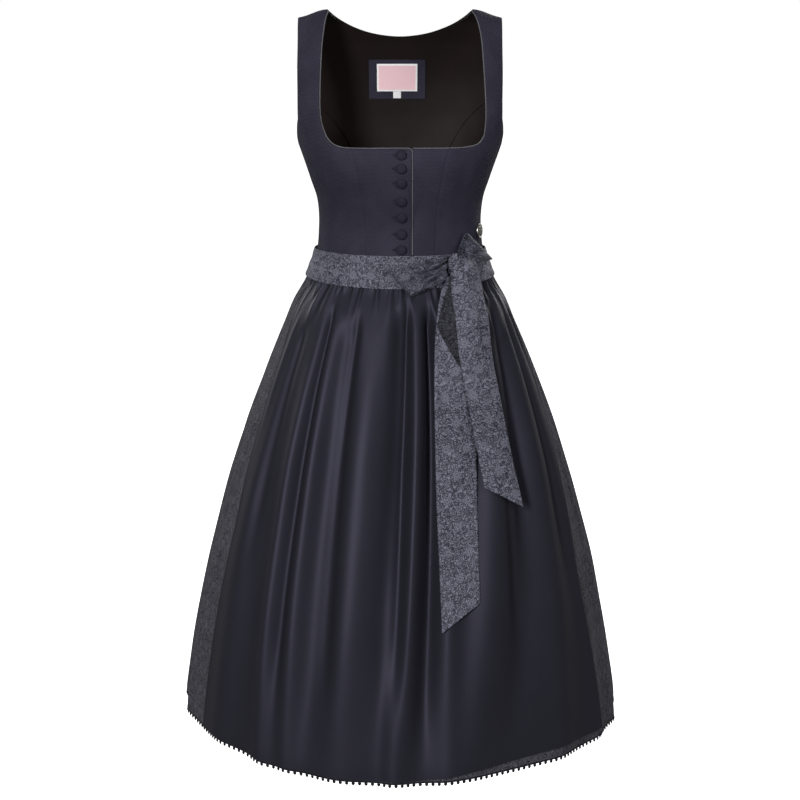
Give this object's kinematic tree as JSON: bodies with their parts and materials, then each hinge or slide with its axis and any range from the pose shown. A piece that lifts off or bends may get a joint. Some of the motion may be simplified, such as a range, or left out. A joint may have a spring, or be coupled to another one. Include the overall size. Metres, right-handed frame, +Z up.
{
  "type": "dirndl",
  "caption": "Sleeveless midi dirndl, filled out with no wearer: fitted bodice with square neckline, gathered skirt with picot hem, and an apron tied in a bow.",
  "frame": {"origin": "midway between the shoulders, level with the tops of the straps, where the wearer's shoulders hold the dress", "axes": "+Z up, the front of the dress faces -Y, +X towards the wearer's left"},
  "size_m": [0.6697, 0.6153, 1.062],
  "materials": {
    "bodice_cloth": "dark navy cloth with a fine dotted weave, nearly matt",
    "lining_cloth": "smooth black-brown lining",
    "label_cloth": "pale pink woven label with a white border, left bare",
    "tag_cloth": "white woven tape",
    "piping_cord": "light grey piping",
    "button_cloth": "dark navy cloth stretched over a dome",
    "old_silver": "darkened silver with bright edges",
    "skirt_jacquard": "grey-navy jacquard with tone-on-tone scrolls and small flowers, a soft sheen",
    "edging_yarn": "dark crochet-like edging with picots",
    "apron_satin": "dark navy satin with a soft sheen",
    "tie_jacquard": "slate-blue satin jacquard with tone-on-tone scrolls and small flowers"
  },
  "bodies": {
    "root": {"centre_front_right": "bodice_cloth", "centre_front_left": "bodice_cloth", "side_front_right": "bodice_cloth", "side_front_left": "bodice_cloth", "centre_back": "bodice_cloth", "side_back_right": "bodice_cloth", "side_back_left": "bodice_cloth", "back_lining": "lining_cloth", "label_patch": "bodice_cloth", "label": "label_cloth", "size_tag": "tag_cloth", "piping_right": "piping_cord", "piping_left": "piping_cord", "button_1": "button_cloth", "button_2": "button_cloth", "button_3": "button_cloth", "button_4": "button_cloth", "button_5": "button_cloth", "button_6": "button_cloth", "button_7": "button_cloth", "side_ornament": "old_silver", "skirt_front": "skirt_jacquard", "skirt_back": "skirt_jacquard", "edging_front": "edging_yarn", "edging_back": "edging_yarn", "apron": "apron_satin", "apron_band": "tie_jacquard", "tie_round_back": "tie_jacquard", "bow_knot": "tie_jacquard", "bow_loop_inner": "tie_jacquard", "bow_loop_outer": "tie_jacquard", "tie_end_long": "tie_jacquard", "tie_end_short": "tie_jacquard"}
  },
  "joints": []
}
